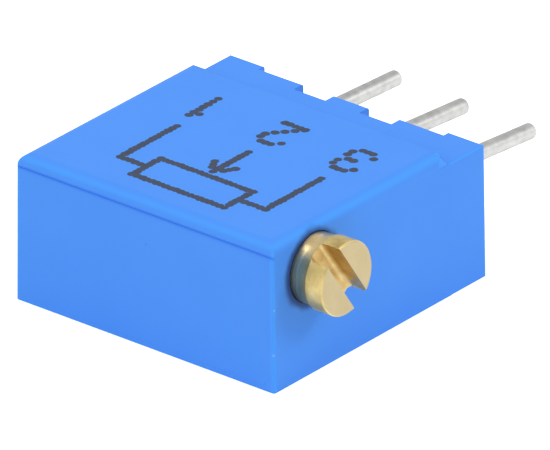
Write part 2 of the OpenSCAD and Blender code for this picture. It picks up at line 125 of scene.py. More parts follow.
def new_finish(name):
    """A material with its Principled shader and the position on the object in millimetres."""
    material = bpy.data.materials.new(name)
    material.use_nodes = True
    tree = material.node_tree
    shader = next(n for n in tree.nodes if n.type == "BSDF_PRINCIPLED")
    where = place(tree, "ShaderNodeTexCoord").outputs["Object"]
    mm = place(tree, "ShaderNodeVectorMath", {0: where}, operation="SCALE")
    mm.inputs["Scale"].default_value = 1 / MM
    return material, tree, shader, mm.outputs[0]


def raise_surface(tree, shader, height, distance, strength=1.0):
    bump = place(tree, "ShaderNodeBump", {"Height": height, "Strength": strength,
                                          "Distance": distance})
    tree.links.new(bump.outputs[0], shader.inputs["Normal"])


def dress(name, material):
    mesh = pieces[name].data
    mesh.materials.clear()
    mesh.materials.append(material)


def add_piece(name, mesh, material, body, smooth=True):
    """Makes a piece of a mesh, with its edges sharp where they bend by more than the crease."""
    crease = math.radians(40)
    for face in mesh.faces:
        face.smooth = smooth
    bmesh.ops.recalc_face_normals(mesh, faces=mesh.faces)
    for edge in mesh.edges:
        edge.smooth = edge.calc_face_angle(0) < crease
    piece = bpy.data.objects.new(name, bpy.data.meshes.new(name))
    mesh.to_mesh(piece.data)
    mesh.free()
    piece.data.materials.append(material)
    bpy.context.scene.collection.objects.link(piece)
    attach(piece, body)


def close_rings(mesh, rings, around=True):
    """Joins each ring of corners to the next one, and the last to the first if around."""
    last = len(rings) if around else len(rings) - 1
    for i in range(last):
        lower, upper = rings[i], rings[(i + 1) % len(rings)]
        for k in range(len(lower)):
            mesh.faces.new((lower[k], lower[(k + 1) % len(lower)],
                            upper[(k + 1) % len(lower)], upper[k]))


# Grain of a mould surface: fine pits with slow cloudy changes of tone over them
mould_grain, given, result = new_effect(
    "mould_grain",
    [("Position", "NodeSocketVector", None), ("Grain", "NodeSocketFloat", 16.0),
     ("Cloud", "NodeSocketFloat", 0.6)],
    [("Tone", "NodeSocketFloat"), ("Height", "NodeSocketFloat")])
cloud = place(mould_grain, "ShaderNodeTexNoise",
              {"Vector": given["Position"], "Scale": given["Cloud"], "Detail": 3.0})
grain = place(mould_grain, "ShaderNodeTexNoise",
              {"Vector": given["Position"], "Scale": given["Grain"], "Detail": 2.0,
               "Roughness": 0.6})
cloud_share, grain_share = 0.8, 0.2
mix = reckon(mould_grain, "MULTIPLY_ADD", cloud.outputs["Fac"], cloud_share,
             reckon(mould_grain, "MULTIPLY", grain.outputs["Fac"], grain_share))
mould_grain.links.new(mix, result.inputs["Tone"])
mould_grain.links.new(grain.outputs["Fac"], result.inputs["Height"])

# Specks: small flecks of filler, each one cell of a cell pattern, where Share is how many show
specks, given, result = new_effect(
    "specks",
    [("Position", "NodeSocketVector", None), ("Spacing", "NodeSocketFloat", 1.0),
     ("Share", "NodeSocketFloat", 0.3), ("Size", "NodeSocketFloat", 0.06)],
    [("Mask", "NodeSocketFloat")])
bend_by = 0.05
wobble = place(specks, "ShaderNodeTexNoise", {"Vector": given["Position"], "Scale": 9.0})
bent = place(specks, "ShaderNodeVectorMath", {0: wobble.outputs["Color"], 1: (bend_by,) * 3},
             operation="MULTIPLY")
bent = place(specks, "ShaderNodeVectorMath", {0: given["Position"], 1: bent.outputs[0]})
cells = place(specks, "ShaderNodeTexVoronoi",
              {"Vector": bent.outputs[0],
               "Scale": reckon(specks, "DIVIDE", 1.0, given["Spacing"])})
near = reckon(specks, "LESS_THAN", cells.outputs["Distance"], given["Size"])
shade = place(specks, "ShaderNodeSeparateColor", {0: cells.outputs["Color"]})
chosen = reckon(specks, "LESS_THAN", shade.outputs[0], given["Share"])
specks.links.new(reckon(specks, "MULTIPLY", near, chosen), result.inputs["Mask"])

# Closeness to the edges of a block from Low to High whose sides close in by Taper for each unit of
# height: 1 along an upright edge and round the top, falling to 0 at about 1.2 times Reach from the
# one and 0.85 times Top Reach from the other
block_edges, given, result = new_effect(
    "block_edges",
    [("Position", "NodeSocketVector", None), ("Low", "NodeSocketVector", None),
     ("High", "NodeSocketVector", None), ("Taper", "NodeSocketVector", None),
     ("Reach", "NodeSocketFloat", 0.12), ("Top Reach", "NodeSocketFloat", 0.3)],
    [("Mask", "NodeSocketFloat")])
height = place(block_edges, "ShaderNodeSeparateXYZ", {0: given["Position"]}).outputs["Z"]
closing = place(block_edges, "ShaderNodeVectorMath", {0: given["Taper"], "Scale": height},
                operation="SCALE").outputs[0]
under = place(block_edges, "ShaderNodeVectorMath",
              {0: given["Position"], 1: given["Low"]}, operation="SUBTRACT").outputs[0]
under = place(block_edges, "ShaderNodeVectorMath", {0: under, 1: closing},
              operation="SUBTRACT").outputs[0]
over = place(block_edges, "ShaderNodeVectorMath",
             {0: given["High"], 1: given["Position"]}, operation="SUBTRACT").outputs[0]
over = place(block_edges, "ShaderNodeVectorMath", {0: over, 1: closing},
             operation="SUBTRACT").outputs[0]
inside = place(block_edges, "ShaderNodeVectorMath", {0: under, 1: over}, operation="MINIMUM")
x, y = place(block_edges, "ShaderNodeSeparateXYZ", {0: inside.outputs[0]}).outputs[:2]
top = place(block_edges, "ShaderNodeSeparateXYZ", {0: over}).outputs["Z"]
upright = reckon(block_edges, "DIVIDE", reckon(block_edges, "MAXIMUM", x, y), given["Reach"])
around_top = reckon(block_edges, "DIVIDE",
                    reckon(block_edges, "MAXIMUM", reckon(block_edges, "MINIMUM", x, y), top),
                    given["Top Reach"])
upright_share = 0.7
closest = reckon(block_edges, "MINIMUM",
                 reckon(block_edges, "MULTIPLY", upright, upright_share), around_top)
falloff = place(block_edges, "ShaderNodeMapRange",
                {"Value": closest, "From Min": 0.35, "From Max": 0.85, "To Min": 1.0,
                 "To Max": 0.0}, interpolation_type="SMOOTHSTEP")
block_edges.links.new(falloff.outputs[0], result.inputs["Mask"])

# A band round one height of the wall that faces -Y, at the step where the two halves of the mould
# meet, painted darker as the shade of that step
parting_step_shade, given, result = new_effect(
    "parting_step_shade",
    [("Position", "NodeSocketVector", None), ("Height", "NodeSocketFloat", 4.3),
     ("Width", "NodeSocketFloat", 0.06), ("Wall", "NodeSocketFloat", -4.8)],
    [("Mask", "NodeSocketFloat")])
spot = place(parting_step_shade, "ShaderNodeSeparateXYZ", {0: given["Position"]}).outputs
away_from = reckon(parting_step_shade, "ABSOLUTE",
                   reckon(parting_step_shade, "SUBTRACT", spot["Z"], given["Height"]))
band = place(parting_step_shade, "ShaderNodeMapRange",
             {"Value": away_from, "From Min": 0.0, "From Max": given["Width"], "To Min": 1.0,
              "To Max": 0.0}, interpolation_type="SMOOTHSTEP")
at_wall = reckon(parting_step_shade, "LESS_THAN", spot["Y"], given["Wall"])
parting_step_shade.links.new(reckon(parting_step_shade, "MULTIPLY", band.outputs[0], at_wall),
                     result.inputs["Mask"])

# Painted shade that the screw casts on the wall round its hole: 1 at the hole, 0 past Reach
neck_shade_ring, given, result = new_effect(
    "neck_shade_ring",
    [("Position", "NodeSocketVector", None), ("Axis", "NodeSocketVector", None),
     ("Hole", "NodeSocketFloat", 1.1), ("Reach", "NodeSocketFloat", 0.25),
     ("Wall", "NodeSocketFloat", 4.5)],
    [("Mask", "NodeSocketFloat")])
offset = place(neck_shade_ring, "ShaderNodeVectorMath", {0: given["Position"], 1: given["Axis"]},
               operation="SUBTRACT")
spot = place(neck_shade_ring, "ShaderNodeSeparateXYZ", {0: offset.outputs[0]}).outputs
flat = place(neck_shade_ring, "ShaderNodeCombineXYZ", {"Y": spot["Y"], "Z": spot["Z"]})
radius = place(neck_shade_ring, "ShaderNodeVectorMath", {0: flat.outputs[0]}, operation="LENGTH")
uneven = place(neck_shade_ring, "ShaderNodeTexNoise", {"Vector": flat.outputs[0], "Scale": 2.2})
spread = reckon(neck_shade_ring, "MULTIPLY", given["Reach"],
                reckon(neck_shade_ring, "ADD", uneven.outputs["Fac"], 0.5))
film = place(neck_shade_ring, "ShaderNodeMapRange",
             {"Value": radius.outputs["Value"], "From Min": given["Hole"],
              "From Max": reckon(neck_shade_ring, "ADD", given["Hole"], spread), "To Min": 1.0,
              "To Max": 0.0}, interpolation_type="SMOOTHSTEP")
outside = reckon(neck_shade_ring, "GREATER_THAN", spot["X"], given["Wall"])
neck_shade_ring.links.new(reckon(neck_shade_ring, "MULTIPLY", film.outputs[0], outside),
                      result.inputs["Mask"])


blue_deep, blue_light = (0.059, 0.272, 0.895, 1), (0.073, 0.308, 0.950, 1)
blue_edge_highlight, blue_chip = (0.062, 0.332, 1.0, 1), (0.26, 0.56, 1.0, 1)
blue_step_shade, blue_fleck = (0.035, 0.19, 0.78, 1), (0.03, 0.12, 0.45, 1)
blue_neck_shade = (0.008, 0.040, 0.20, 1)
matt_over, matt_length, nowhere = 4.26, 0.3, 99.0


def blue_moulding(name, low, high, taper, top_edge, matt_from):
    """The blue plastic of a block from low to high, left matt by the mould from matt_from on."""
    material, tree, shader, mm = new_finish(name)
    grain = use_effect(tree, mould_grain, Position=mm, Grain=14.0, Cloud=0.45)
    edge = use_effect(tree, block_edges, Position=mm, Low=low / MM, High=high / MM, Taper=taper,
                      Reach=0.12, Top_Reach=top_edge)
    flecks = use_effect(tree, specks, Position=mm, Spacing=0.9, Share=0.12, Size=0.045)
    chips = use_effect(tree, specks, Position=mm, Spacing=0.22, Share=0.16, Size=0.2)
    # A darker band painted as the shade of the step where the halves of the mould meet
    line = use_effect(tree, parting_step_shade, Position=mm, Height=4.29, Width=0.09, Wall=-4.75)
    # Painted shade on the wall round the hole of the screw, darkest at the hole
    neck_shade = use_effect(tree, neck_shade_ring, Position=mm, Axis=neck_shade_centre, Hole=1.09, Reach=0.27,
                        Wall=4.6)
    colour = blend_colour(tree, grain["Tone"], blue_deep, blue_light)
    # The edges are painted paler: a painted highlight where the rounded edges catch the light
    colour = blend_colour(tree, edge["Mask"], colour, blue_edge_highlight)
    chipped = reckon(tree, "MULTIPLY", chips["Mask"], reckon(tree, "MULTIPLY", edge["Mask"], 0.5))
    colour = blend_colour(tree, chipped, colour, blue_chip)
    for marks, strength, tone in ((line, 0.45, blue_step_shade), (flecks, 0.35, blue_fleck),
                                  (neck_shade, 0.92, blue_neck_shade)):
        colour = blend_colour(tree, reckon(tree, "MULTIPLY", marks["Mask"], strength), colour,
                              tone)
    tree.links.new(colour, shader.inputs["Base Color"])
    spot = place(tree, "ShaderNodeSeparateXYZ", {0: mm}).outputs
    along = place(tree, "ShaderNodeMapRange", {"Value": spot["Y"], "From Min": matt_from,
                                               "From Max": matt_from + matt_length})
    raised = reckon(tree, "GREATER_THAN", spot["Z"], matt_over)
    matt = reckon(tree, "MULTIPLY", reckon(tree, "MULTIPLY", along.outputs[0], raised), 0.5)
    rough = reckon(tree, "MULTIPLY_ADD", grain["Height"], 0.12, reckon(tree, "ADD", matt, 0.46))
    tree.links.new(rough, shader.inputs["Roughness"])
    shader.inputs["Specular IOR Level"].default_value = 0.22
    raise_surface(tree, shader, grain["Height"], 0.004 * MM, 0.6)
    return material


# The sides close in a little toward the marked face. The joint to the base is flush and has no
# edge of its own.
screw_joint = next(j for j in frame["joints"] if j["name"] == "screw_turn")
screw_axis = Vector(screw_joint["pos_m"]) / MM
# The painted shade round the screw's hole is centred a little below the axis and toward -Y, where
# the screw's shadow falls
neck_shade_shift = Vector((0, 0.06, 0.02))
neck_shade_centre = screw_axis - neck_shade_shift
side_taper = Vector((side_draft, end_draft, 0)) / (housing_high.z / MM)
past_joint = Vector((0, 1, 0)) * MM
housing_top_edge, matt_round = 0.31, 0.5
dress("housing", blue_moulding("blue_moulding_housing", housing_low,
                               housing_high + past_joint, side_taper, housing_top_edge,
                               housing_high.y / MM - matt_round))

# At its two corners the round of the moulding runs out in a ramp, from the marked face down to
# the top of the base. Its foot is sunk in the housing.
# On the ramps the painted edge highlight reaches further from the top, so that it follows them
# down
ramp_top_edge = 0.75
ramp_finish = blue_moulding("blue_moulding_ramp", housing_low, housing_high + past_joint,
                            side_taper, ramp_top_edge, nowhere)
base_low, base_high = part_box("base")
wall_inset, face_inset, step_inset = 0.064, 0.010, 0.005
wall_x, joint_y = housing_high.x / MM - wall_inset, housing_high.y / MM
face_top, base_top = housing_high.z / MM - face_inset, base_high.z / MM - step_inset
ramp_back, ramp_length, ramp_width, ramp_foot = 0.72, 0.75, 0.95, 4.05
soft_start, soft_loss = 0.36, 0.26
ramp_steps, round_steps = 18, 8
for name, hand in (("corner_ramp_left", -1), ("corner_ramp_right", 1)):
    corner = bmesh.new()
    rings = []
    for i in range(ramp_steps + 1):
        t = i / ramp_steps
        y = joint_y - ramp_back + ramp_length * t
        fall = t ** 1.5
        crest = base_top + (face_top - base_top) * (1 - fall * fall * (3 - 2 * fall))
        soft = soft_start - soft_loss * t
        outline = [(wall_x - ramp_width, ramp_foot), (wall_x - ramp_width, crest)]
        for k in range(round_steps + 1):
            angle = math.pi / 2 * (1 - k / round_steps)
            outline.append((wall_x - soft + soft * math.cos(angle),
                            crest - soft + soft * math.sin(angle)))
        outline.append((wall_x + side_draft * (1 - ramp_foot / (housing_high.z / MM)), ramp_foot))
        rings.append([corner.verts.new(Vector((hand * x, y, z)) * MM) for x, z in outline])
    close_rings(corner, rings, around=False)
    corner.faces.new(rings[0])
    corner.faces.new(rings[-1])
    add_piece(name, corner, ramp_finish, "body")

# Print on the marked face. Dots of dark ink from a dot printer: the numbers of the three pins
# and the plain sign of a potentiometer over them. It reads from the pin side.
dot_pitch, dot_r, dot_corners, crown_share = 0.225, 0.140, 14, 0.9
digit_narrow, line_close = 0.86, 0.8
ink_depth, ink_sunk = 0.004, 0.001
ink_dark, ink_light = (0.028, 0.042, 0.080, 1), (0.060, 0.080, 0.135, 1)
face_z = housing_high.z / MM
digit_rows = {
    "1": ["..#", ".##", "..#", "..#", "..#", "..#", "..#"],
    "2": [".###.", "#...#", "....#", "...#.", "..#..", ".#...", "#####"],
    "3": [".###.", "#...#", "....#", "..##.", "....#", "#...#", ".###."],
}
digit_places = (("3", 3.08), ("2", 0.35), ("1", -2.35))
digit_y = 0.92
resistor_box = ((2.1, -3.75, -1.35, -3.75), (2.1, -2.45, -1.35, -2.45),
                (2.1, -3.52, 2.1, -2.68), (-1.35, -3.52, -1.35, -2.68))
end_leads = ((2.33, -3.1, 3.1, -3.1), (3.1, -2.87, 3.1, -0.55),
             (-1.58, -3.1, -2.35, -3.1), (-2.35, -2.87, -2.35, -0.55))
wiper_arrow = ((0.37, -2.15, 0.37, -0.55), (0.57, -1.95, 0.77, -1.62),
               (0.17, -1.95, -0.03, -1.62))
ink_dots = []


def print_digit(text, x, y):
    rows = digit_rows[text]
    for down, row in enumerate(rows):
        for along, mark in enumerate(row):
            if mark == "#":
                ink_dots.append((x - (along - (len(row) - 1) / 2) * dot_pitch * digit_narrow,
                                 y + (down - len(rows) // 2) * dot_pitch))


def print_line(x0, y0, x1, y1):
    steps = max(1, round(math.hypot(x1 - x0, y1 - y0) / (dot_pitch * line_close)))
    for i in range(steps + 1):
        ink_dots.append((x0 + (x1 - x0) * i / steps, y0 + (y1 - y0) * i / steps))


for number, x in digit_places:
    print_digit(number, x, digit_y)
for line_ends in resistor_box + end_leads + wiper_arrow:
    print_line(*line_ends)

dice = random.Random(11)
print_mesh = bmesh.new()
for x, y in ink_dots:
    radius = dot_r * (1 + dice.uniform(-0.08, 0.08))
    x += dice.uniform(-0.012, 0.012)
    y += dice.uniform(-0.012, 0.012)
    top = face_z + ink_depth * (1 + dice.uniform(-0.1, 0.1))
    wave = [1 + dice.uniform(-0.07, 0.07) for _ in range(dot_corners)]
    ring = [(x + radius * w * math.cos(math.tau * k / dot_corners),
             y + radius * w * math.sin(math.tau * k / dot_corners)) for k, w in enumerate(wave)]
    rim = [print_mesh.verts.new(Vector((a, b, face_z - ink_sunk)) * MM) for a, b in ring]
    crown = [print_mesh.verts.new(Vector((x + (a - x) * crown_share, y + (b - y) * crown_share,
                                          top)) * MM) for a, b in ring]
    for k in range(dot_corners):
        after = (k + 1) % dot_corners
        print_mesh.faces.new((rim[k], rim[after], crown[after], crown[k]))
    print_mesh.faces.new(crown)
    print_mesh.faces.new(rim[::-1])


def two_tone(name, effect, tones, roughness, depth, strength=1.0, metallic=0.0, specular=0.5,
             **scales):
    """A material that runs between two tones by an effect, which also raises its surface."""
    material, tree, shader, mm = new_finish(name)
    marks = use_effect(tree, effect, Position=mm, **scales)
    tree.links.new(blend_colour(tree, marks["Tone"], *tones), shader.inputs["Base Color"])
    shader.inputs["Metallic"].default_value = metallic
    shader.inputs["Roughness"].default_value = roughness
    shader.inputs["Specular IOR Level"].default_value = specular
    raise_surface(tree, shader, marks["Height"], depth * MM, strength)
    return material


ink = two_tone("print_ink", mould_grain, (ink_dark, ink_light), 0.62, 0.003, specular=0.28,
               Grain=22.0, Cloud=3.0)
add_piece("face_print", print_mesh, ink, "body", smooth=False)

# Base. The closure of the pin end, moulded of the same plastic, with two feet and two notches.
# Its plug enters the housing; its sides are almost flush with it, and its top lies lower.
base_top_edge = 0.1
dress("base", blue_moulding("blue_moulding_base", base_low - past_joint, base_high,
                            side_taper * Vector((1, 0, 0)), base_top_edge, nowhere))

# Sealing compound. Dark blue epoxy cast into the pocket round the pins; it creeps a little way
# up each pin and leaves a collar.
compound_dark, compound_light = (0.010, 0.045, 0.16, 1), (0.022, 0.085, 0.28, 1)
compound = two_tone("sealing_compound", mould_grain, (compound_dark, compound_light), 0.22, 0.02,
                    0.5, Grain=5.0, Cloud=0.8)
dress("potting", compound)

potting_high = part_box("potting")[1]
pin_r = 0.25 * MM
collar_reach, collar_climb, collar_sunk, collar_lip = 0.26, 0.17, 0.004, 0.02
collar_swell, collar_corners, collar_steps = 0.05, 40, 9
for number in (1, 2, 3):
    pin_low, pin_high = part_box(f"terminal_{number}")
    centre = Vector((pin_low.x + pin_r, potting_high.y, pin_high.z - pin_r))
    collar = bmesh.new()
    steps = [(pin_r + collar_reach * MM * (1 - t) ** 2.2,
              collar_climb * MM * t ** 1.6 - collar_sunk * MM)
             for t in [i / collar_steps for i in range(collar_steps + 1)]]
    steps.append((pin_r - collar_lip * MM, -collar_sunk * MM))
    rings = []
    for radius, climb in steps:
        risen = climb / (collar_climb * MM)
        ring = []
        for k in range(collar_corners):
            angle = math.tau * k / collar_corners
            swell = 1 + collar_swell * math.sin(3 * angle + number) * risen
            ring.append(collar.verts.new(centre + Vector((
                radius * math.cos(angle), climb * swell, radius * math.sin(angle)))))
        rings.append(ring)
    close_rings(collar, rings)
    add_piece(f"compound_collar_{number}", collar, compound, "body")

# Adjustment screw. Turned from brass rod and sawn across its head, and held in the housing by the
# fork. Its skin carries fine rings from the tool; the neck is smoother and even in tone, while the
# side and the slot of the head are stained in patches. The slot is painted darker than the side,
# as the shade inside it, and the side tone runs down the outer edge of the slot walls as a painted
# highlight.
head_r, neck_end_x, head_start_x = 1.15, 5.10, 5.40
front_skin, side_skin, floor_skin = 0.012, 0.05, 0.01
slot_floor_x, head_front_x = 5.39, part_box("adjustment_screw")[1].x / MM
side_dark, side_light = (0.54, 0.405, 0.150, 1), (0.76, 0.615, 0.280, 1)
front_dark, front_light = (0.445, 0.360, 0.190, 1), (0.545, 0.450, 0.265, 1)
slot_shaded_dark, slot_shaded_light = (0.52, 0.365, 0.140, 1), (0.72, 0.545, 0.250, 1)
neck_tone = (0.76, 0.57, 0.29, 1)

# Rings of a turned surface round an axis along X, with the distances from and along that axis
turning, given, result = new_effect(
    "turning",
    [("Position", "NodeSocketVector", None), ("Axis", "NodeSocketVector", None),
     ("Rings", "NodeSocketFloat", 22.0)],
    [("Height", "NodeSocketFloat"), ("Radius", "NodeSocketFloat"), ("Along", "NodeSocketFloat")])
offset = place(turning, "ShaderNodeVectorMath", {0: given["Position"], 1: given["Axis"]},
               operation="SUBTRACT")
parts = place(turning, "ShaderNodeSeparateXYZ", {0: offset.outputs[0]}).outputs
flat = place(turning, "ShaderNodeCombineXYZ", {"Y": parts["Y"], "Z": parts["Z"]})
radius = place(turning, "ShaderNodeVectorMath", {0: flat.outputs[0]}, operation="LENGTH")
both = place(turning, "ShaderNodeCombineXYZ",
             {"X": parts["X"], "Y": radius.outputs["Value"]})
rings = place(turning, "ShaderNodeTexNoise",
              {"Vector": both.outputs[0], "Scale": given["Rings"], "Detail": 3.0,
               "Roughness": 0.7})
turning.links.new(rings.outputs["Fac"], result.inputs["Height"])
turning.links.new(radius.outputs["Value"], result.inputs["Radius"])
turning.links.new(parts["X"], result.inputs["Along"])

brass, tree, shader, mm = new_finish("turned_brass")
lathe = use_effect(tree, turning, Position=mm, Axis=screw_axis, Rings=26.0)
stain = use_effect(tree, mould_grain, Position=mm, Grain=9.0, Cloud=1.6)
head = place(tree, "ShaderNodeMapRange",
             {"Value": lathe["Along"], "From Min": neck_end_x, "From Max": head_start_x})
front = reckon(tree, "GREATER_THAN", lathe["Along"], head_front_x - front_skin)
# Outer also takes the outer 0.05 of the slot walls, where the paler side tone shows as a painted
# highlight along the edge of the slot
outer = reckon(tree, "GREATER_THAN", lathe["Radius"], head_r - side_skin)
# The walls and floor of the slot get a darker, deeper brass, painted as the shade inside the slot
cut = reckon(tree, "MULTIPLY",
             reckon(tree, "GREATER_THAN", lathe["Along"], slot_floor_x - floor_skin),
             reckon(tree, "SUBTRACT", 1.0, reckon(tree, "MAXIMUM", front, outer)))
patches = place(tree, "ShaderNodeMapRange", {"Value": stain["Tone"], "From Min": 0.38,
                                             "From Max": 0.62}).outputs[0]
colour = blend_colour(tree, patches, side_dark, side_light)
face = blend_colour(tree, stain["Tone"], front_dark, front_light)
slot_shade = blend_colour(tree, patches, slot_shaded_dark, slot_shaded_light)
colour = blend_colour(tree, front, colour, face)
colour = blend_colour(tree, cut, colour, slot_shade)
colour = blend_colour(tree, head.outputs[0], neck_tone, colour)
tree.links.new(colour, shader.inputs["Base Color"])
shader.inputs["Metallic"].default_value = 1.0
rough = reckon(tree, "MULTIPLY_ADD", head.outputs[0], 0.18,
               reckon(tree, "MULTIPLY_ADD", lathe["Height"], 0.16, 0.20))
tree.links.new(rough, shader.inputs["Roughness"])
raise_surface(tree, shader, lathe["Height"], 0.006 * MM, 0.7)
dress("adjustment_screw", brass)


def on_screw_axis(x, radius, angle):
    return Vector((x, screw_axis.y + radius * math.cos(angle),
                   screw_axis.z + radius * math.sin(angle))) * MM


# The turning tool leaves a ramp with a soft end between the neck and the head. At the two mouths
# of the slot it stops at the floor of the slot.
neck_r, slot_turn, slot_half = 1.08, math.radians(-56), 0.33
shoulder_start, shoulder_end, shoulder_root = 5.08, 5.43, 0.06
shoulder_corners, shoulder_steps = 120, 12
mouth_inset, mouth_short, mouth_low, head_lift = 0.07, 0.006, 0.023, 0.001
shoulder = bmesh.new()
profile = [(t / shoulder_steps, 0.0) for t in range(shoulder_steps + 1)]
profile += [(1, -shoulder_root), (0, -shoulder_root)]
rings = []
for t, sink in profile:
    ring = []
    for k in range(shoulder_corners):
        angle = math.tau * k / shoulder_corners
        mouth = abs(head_r * math.sin(angle - slot_turn)) < slot_half - mouth_inset
        end = slot_floor_x - mouth_short if mouth else shoulder_end
        top = head_r - mouth_low if mouth else head_r + head_lift
        ring.append(shoulder.verts.new(on_screw_axis(
            shoulder_start + (end - shoulder_start) * t,
            neck_r + (top - neck_r) * t ** 1.6 + sink, angle)))
    rings.append(ring)
close_rings(shoulder, rings)
add_piece("shoulder_ramp", shoulder, brass, "screw")

# Burrs. The saw leaves a thin ragged lip of brass along the mouths of the slot, which breaks off
# in places. The lips are part of the head and turn with it.
burr_runs = ((5.47, 5.62), (5.66, 5.80), (5.85, 6.00))
burr_steps, burr_corners, burr_wide = 8, 7, 1.3
dice = random.Random(5)
burrs = bmesh.new()
for mouth_angle in (slot_turn, slot_turn + math.pi):
    for edge_side in (-1, 1):
        angle = mouth_angle + edge_side * math.asin(slot_half / head_r)
        for start, end in burr_runs:
            rings = []
            for i in range(burr_steps + 1):
                t = i / burr_steps
                size = (0.008 + dice.uniform(0.004, 0.02)) * math.sin(math.pi * (0.06 + 0.88 * t))
                x = start + (end - start) * t
                middle = head_r + dice.uniform(-0.002, 0.010)
                drift = dice.uniform(-0.006, 0.006)
                ring = []
                for k in range(burr_corners):
                    turned = math.tau * k / burr_corners
                    ring.append(burrs.verts.new(on_screw_axis(
                        x, middle + size * math.cos(turned),
                        angle + (drift + burr_wide * size * math.sin(turned)) / head_r)))
                rings.append(ring)
            close_rings(burrs, rings, around=False)
            burrs.faces.new(rings[0])
            burrs.faces.new(rings[-1])
add_piece("slot_burrs", burrs, brass, "screw")

# Pins. Copper wire dipped in tin, soldered to the films and set in the sealing compound. It is
# pale, with a soft gloss, faint lines drawn along the wire and shallow runs in the tin.
tin_dark, tin_light = (0.51, 0.51, 0.496, 1), (0.65, 0.655, 0.64, 1)
tin_glance = (0.62, 0.62, 0.61, 1)

# Lines drawn along Y, and slow runs of tone between them
drawn_lines, given, result = new_effect(
    "drawn_lines",
    [("Position", "NodeSocketVector", None), ("Fineness", "NodeSocketFloat", 20.0)],
    [("Tone", "NodeSocketFloat"), ("Height", "NodeSocketFloat")])
squeezed = place(drawn_lines, "ShaderNodeVectorMath",
                 {0: given["Position"], 1: (1, 0.03, 1)}, operation="MULTIPLY")
lines = place(drawn_lines, "ShaderNodeTexNoise",
              {"Vector": squeezed.outputs[0], "Scale": given["Fineness"], "Detail": 2.0})
runs = place(drawn_lines, "ShaderNodeTexNoise",
             {"Vector": given["Position"], "Scale": 3.5, "Detail": 2.0})
spread = place(drawn_lines, "ShaderNodeMapRange", {"Value": runs.outputs["Fac"],
                                                   "From Min": 0.3, "From Max": 0.7})
drawn_lines.links.new(spread.outputs[0], result.inputs["Tone"])
drawn_lines.links.new(reckon(drawn_lines, "MULTIPLY_ADD", lines.outputs["Fac"], 0.5,
                             runs.outputs["Fac"]), result.inputs["Height"])

tin, tree, shader, mm = new_finish("tinned_wire")
wire = use_effect(tree, drawn_lines, Position=mm, Fineness=18.0)
colour = blend_colour(tree, wire["Tone"], tin_dark, tin_light)
tree.links.new(colour, shader.inputs["Base Color"])
shader.inputs["Metallic"].default_value = 1.0
shader.inputs["Specular Tint"].default_value = tin_glance
tree.links.new(reckon(tree, "MULTIPLY_ADD", wire["Height"], 0.14, 0.34),
               shader.inputs["Roughness"])
raise_surface(tree, shader, wire["Height"], 0.006 * MM, 0.4)
for number in (1, 2, 3):
    dress(f"terminal_{number}", tin)

# Solder joints. Bright tin alloy that has flowed from each pin over its film.
solder_dark, solder_light = (0.55, 0.55, 0.54, 1), (0.78, 0.78, 0.77, 1)
solder = two_tone("solder", mould_grain, (solder_dark, solder_light), 0.25, 0.02, metallic=1.0,
                  Grain=6.0, Cloud=2.0)
for number in (1, 2, 3):
    dress(f"solder_{number}", solder)

# Ceramic plate. Fired alumina, matt white with a fine sugary grain. It lies on ribs of the
# housing, with its end in the base.
alumina_dark, alumina_light = (0.74, 0.73, 0.69, 1), (0.86, 0.855, 0.82, 1)
dress("ceramic_plate", two_tone("alumina", mould_grain, (alumina_dark, alumina_light), 0.72,
                                0.006, Grain=30.0, Cloud=1.2))

# Films. Pastes printed through a screen and fired on the plate: a black-brown resistive track
# that the wiper has polished in rings, and silver for the collector and the two ends.
resist_dark, resist_light = (0.018, 0.015, 0.013, 1), (0.05, 0.042, 0.036, 1)
resist_polished = (0.085, 0.078, 0.07, 1)
silver_dark, silver_light = (0.66, 0.65, 0.61, 1), (0.85, 0.845, 0.82, 1)
resist, tree, shader, mm = new_finish("resistive_film")
rotor_joint = next(j for j in frame["joints"] if j["name"] == "rotor_turn")
pivot_at = Vector(rotor_joint["pos_m"]) / MM
grain = use_effect(tree, mould_grain, Position=mm, Grain=25.0, Cloud=3.0)
offset = place(tree, "ShaderNodeVectorMath", {0: mm, 1: pivot_at}, operation="SUBTRACT")
flat = place(tree, "ShaderNodeVectorMath", {0: offset.outputs[0], 1: (1, 1, 0)},
             operation="MULTIPLY")
radius = place(tree, "ShaderNodeVectorMath", {0: flat.outputs[0]}, operation="LENGTH")
tracks = place(tree, "ShaderNodeTexNoise", {"Scale": 14.0, "Detail": 1.0,
                                            "Vector": radius.outputs["Value"]})
colour = blend_colour(tree, grain["Tone"], resist_dark, resist_light)
colour = blend_colour(tree, reckon(tree, "MULTIPLY", tracks.outputs["Fac"], 0.5), colour,
                      resist_polished)
tree.links.new(colour, shader.inputs["Base Color"])
shader.inputs["Roughness"].default_value = 0.38
raise_surface(tree, shader, grain["Height"], 0.004 * MM)
dress("resistive_track", resist)

silver = two_tone("silver_film", mould_grain, (silver_dark, silver_light), 0.5, 0.006,
                  metallic=1.0, Grain=24.0, Cloud=2.0)
for name in ("collector_film", "end_film_1", "end_film_3"):
    dress(name, silver)

# Rotor. Moulded of ivory glass-filled plastic, matt, with fibres that show as small pale specks.
# It turns on the pivot pin.
ivory_dark, ivory_light = (0.66, 0.60, 0.44, 1), (0.78, 0.73, 0.57, 1)
ivory_fibre = (0.86, 0.83, 0.72, 1)
ivory, tree, shader, mm = new_finish("ivory_moulding")
grain = use_effect(tree, mould_grain, Position=mm, Grain=18.0, Cloud=1.0)
fibres = use_effect(tree, specks, Position=mm, Spacing=0.25, Share=0.25, Size=0.12)
colour = blend_colour(tree, grain["Tone"], ivory_dark, ivory_light)
colour = blend_colour(tree, reckon(tree, "MULTIPLY", fibres["Mask"], 0.25), colour, ivory_fibre)
tree.links.new(colour, shader.inputs["Base Color"])
shader.inputs["Roughness"].default_value = 0.55
raise_surface(tree, shader, grain["Height"], 0.006 * MM)
dress("rotor", ivory)

